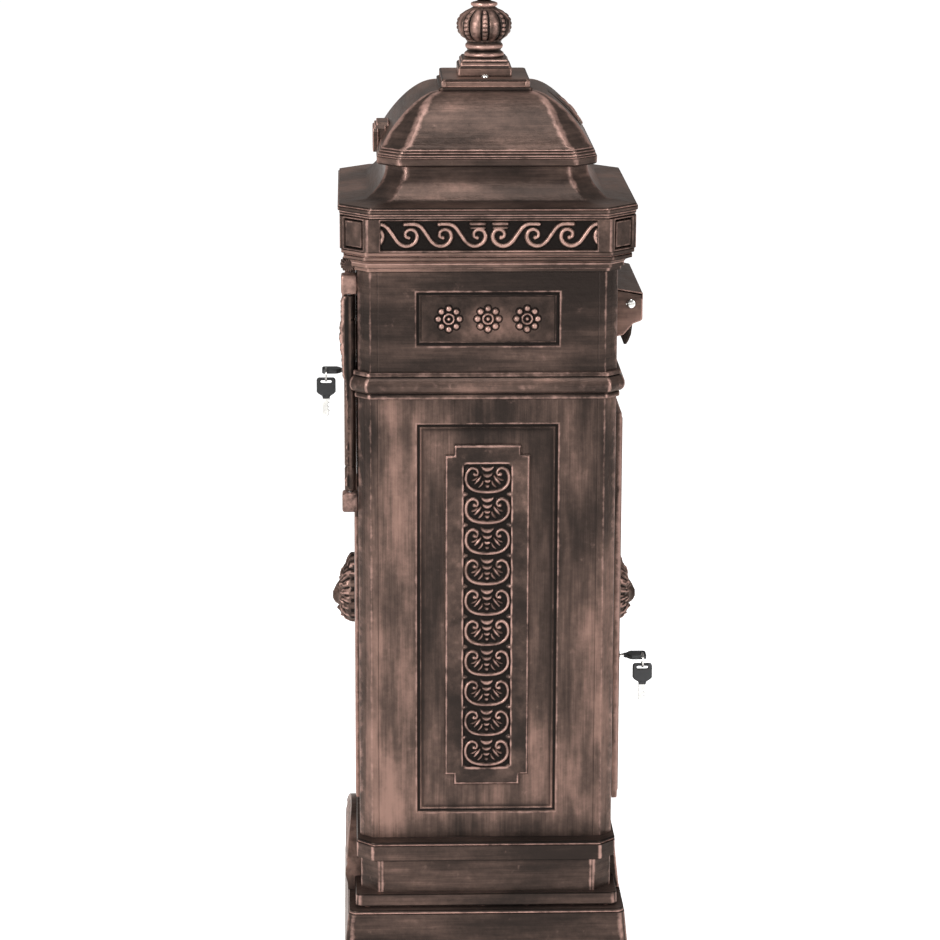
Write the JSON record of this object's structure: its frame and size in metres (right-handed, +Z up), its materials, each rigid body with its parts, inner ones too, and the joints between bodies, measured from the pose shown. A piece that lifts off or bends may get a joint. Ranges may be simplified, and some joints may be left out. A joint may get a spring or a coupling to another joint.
{
  "type": "pillar mailbox",
  "caption": "Free-standing square pillar mailbox in cast metal: domed roof with finial, hooded letter slot, two locked doors and a stepped base.",
  "frame": {"origin": "centre of the underside of the base plate, on the pillar axis, at the ground", "axes": "+Z up the pillar; +X towards the letter-hood face (front); -X the face with the upper door (rear); -Y the left side"},
  "size_m": [0.3602, 0.338, 1.025],
  "materials": {
    "cast_copper": "antique copper paint on cast aluminium, brushed over a near-black ground, satin",
    "rubbed_copper": "antique copper paint, ornament rubbed to lighter copper on its high spots, satin",
    "steel": "zinc-plated steel",
    "nickel": "bright nickel plate",
    "key_plastic": "black moulded key bow, nickel-plated blade"
  },
  "bodies": {
    "pillar": {"base_block": "cast_copper", "plinth": "cast_copper", "collar": "cast_copper", "rear_foot_ornament": "cast_copper", "left_wall": "cast_copper", "right_wall": "cast_copper", "front_wall": "cast_copper", "rear_wall": "cast_copper", "entablature": "cast_copper", "frieze": "cast_copper", "cornice_roof": "cast_copper", "dome": "cast_copper", "dome_cap": "cast_copper", "dome_tablet": "cast_copper", "finial_plinth": "cast_copper", "finial_crown": "cast_copper", "letter_hood": "cast_copper", "rear_lower_plate": "cast_copper", "waist_moulding": "rubbed_copper", "left_plaque": "rubbed_copper", "right_plaque": "rubbed_copper", "left_rosette_panel": "rubbed_copper", "right_rosette_panel": "rubbed_copper", "dome_crest": "rubbed_copper", "rear_lion_mask": "rubbed_copper", "rear_hinge_block_top": "rubbed_copper", "rear_hinge_block_bottom": "rubbed_copper", "front_hinge_block_top": "rubbed_copper", "front_hinge_block_bottom": "rubbed_copper", "base_plate": "steel", "compartment_floor": "steel", "letter_chute": "steel", "rear_hinge_pin_top": "steel", "rear_hinge_pin_bottom": "steel", "front_hinge_pin_top": "steel", "front_hinge_pin_bottom": "steel", "tie_rod_1": "steel", "tie_rod_2": "steel", "tie_rod_3": "steel", "tie_rod_4": "steel", "finial_screw": "nickel", "flap_screw_left": "nickel", "flap_screw_right": "nickel"},
    "flap": {"letter_flap": "cast_copper"},
    "rear_door": {"rear_door": "cast_copper", "rear_door_relief": "rubbed_copper", "rear_lock_body": "nickel"},
    "rear_lock": {"rear_lock_plug": "nickel", "rear_lock_cam": "steel", "rear_key": "key_plastic"},
    "rear_spare": {"rear_key_ring": "nickel", "rear_spare_key": "key_plastic"},
    "front_door": {"front_door": "cast_copper", "front_lion_mask": "rubbed_copper", "front_lock_body": "nickel"},
    "front_lock": {"front_lock_plug": "nickel", "front_lock_cam": "steel", "front_key": "key_plastic"},
    "front_spare": {"front_key_ring": "nickel", "front_spare_key": "key_plastic"}
  },
  "joints": [
    {"name": "letter_flap_hinge", "type": "hinge", "parent": "pillar", "child": "flap", "pos_m": [0.1518, 0, 0.6906], "axis": [0, -1, 0], "range_deg": [0, 80]},
    {"name": "rear_door_hinge", "type": "hinge", "parent": "pillar", "child": "rear_door", "pos_m": [-0.1435, -0.113, 0.6015], "axis": [0, 0, 1], "range_deg": [0, 110]},
    {"name": "front_door_hinge", "type": "hinge", "parent": "pillar", "child": "front_door", "pos_m": [0.1435, 0.113, 0.365], "axis": [0, 0, 1], "range_deg": [0, 110]},
    {"name": "rear_lock_turn", "type": "hinge", "parent": "rear_door", "child": "rear_lock", "pos_m": [-0.1435, 0.08, 0.5856], "axis": [1, 0, 0], "range_deg": [0, 90]},
    {"name": "front_lock_turn", "type": "hinge", "parent": "front_door", "child": "front_lock", "pos_m": [0.1435, -0.08, 0.304], "axis": [1, 0, 0], "range_deg": [0, 90]},
    {"name": "rear_spare_hang", "type": "hinge", "parent": "rear_lock", "child": "rear_spare", "pos_m": [-0.1696, 0.0719, 0.5856], "axis": [1, 0, 0], "range_deg": [-90, 0]},
    {"name": "front_spare_hang", "type": "hinge", "parent": "front_lock", "child": "front_spare", "pos_m": [0.1696, -0.0881, 0.304], "axis": [1, 0, 0], "range_deg": [-90, 0]}
  ],
  "couplings": [
    {"joint": "rear_spare_hang", "follows": "rear_lock_turn", "ratio": -1},
    {"joint": "front_spare_hang", "follows": "front_lock_turn", "ratio": -1}
  ]
}
